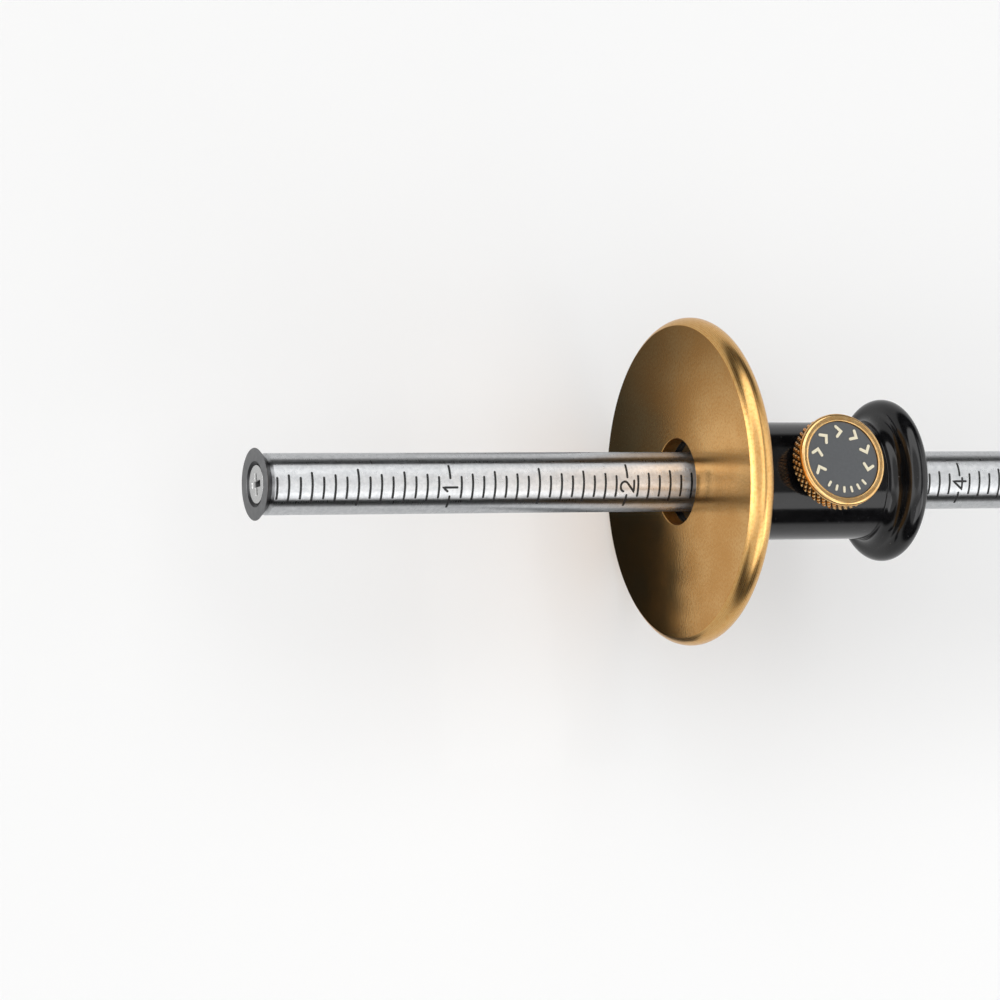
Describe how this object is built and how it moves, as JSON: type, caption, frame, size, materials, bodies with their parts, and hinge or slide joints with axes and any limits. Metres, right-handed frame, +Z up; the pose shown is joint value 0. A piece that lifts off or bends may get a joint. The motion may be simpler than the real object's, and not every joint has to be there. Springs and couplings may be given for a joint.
{
  "type": "marking gauge",
  "caption": "Wheel marking gauge: a graduated steel rod with a cutting wheel slides through a round brass fence and is locked by a knurled knob.",
  "frame": {"origin": "centre of the fence's front face, on the rod's axis", "axes": "+X along the rod from the cutter towards the tail, +Z up along the lock knob's axis"},
  "size_m": [0.1788, 0.0438, 0.0438],
  "materials": {
    "lapped_brass": "lapped face, polished rounded edge",
    "knurled_brass": "diamond knurl with a polished lip",
    "black_anodised": "glossy black anodised",
    "black_rubber": "smooth",
    "ground_steel": "satin ground, with black graduations",
    "hardened_steel": "dark satin, hardened",
    "plated_screw": "bright plated",
    "grey_enamel": "satin grey enamel",
    "nylon": "natural nylon"
  },
  "bodies": {
    "head": {"fence_disc": "lapped_brass", "hub_sleeve": "black_anodised", "grip_collar": "black_anodised"},
    "grip_ring": {"o_ring": "black_rubber"},
    "rod": {"rod": "ground_steel", "cutter_screw": "plated_screw"},
    "cutter": {"cutter_wheel": "hardened_steel"},
    "pad": {"pressure_pad": "nylon"},
    "lock_screw": {"lock_knob": "knurled_brass", "knob_badge": "grey_enamel", "lock_stud": "plated_screw"}
  },
  "joints": [
    {"name": "rod_spin", "type": "hinge", "parent": "head", "child": "grip_ring", "pos_m": [0, 0, 0], "axis": [1, 0, 0], "continuous": true},
    {"name": "rod_slide", "type": "slide", "parent": "grip_ring", "child": "rod", "axis": [1, 0, 0], "range_m": [-0.0845, 0.0604]},
    {"name": "cutter_index", "type": "hinge", "parent": "rod", "child": "cutter", "pos_m": [-0.0595, 0, 0], "axis": [1, 0, 0], "continuous": true},
    {"name": "lock_travel", "type": "slide", "parent": "head", "child": "pad", "axis": [0, 0, 1], "range_m": [0, 0.0012]},
    {"name": "lock_turn", "type": "hinge", "parent": "pad", "child": "lock_screw", "pos_m": [0.0193, 0, 0.01], "axis": [0, 0, 1], "range_deg": [0, 540]}
  ],
  "couplings": [
    {"joint": "lock_travel", "follows": "lock_turn", "m_per_rad": 0.00012633}
  ]
}
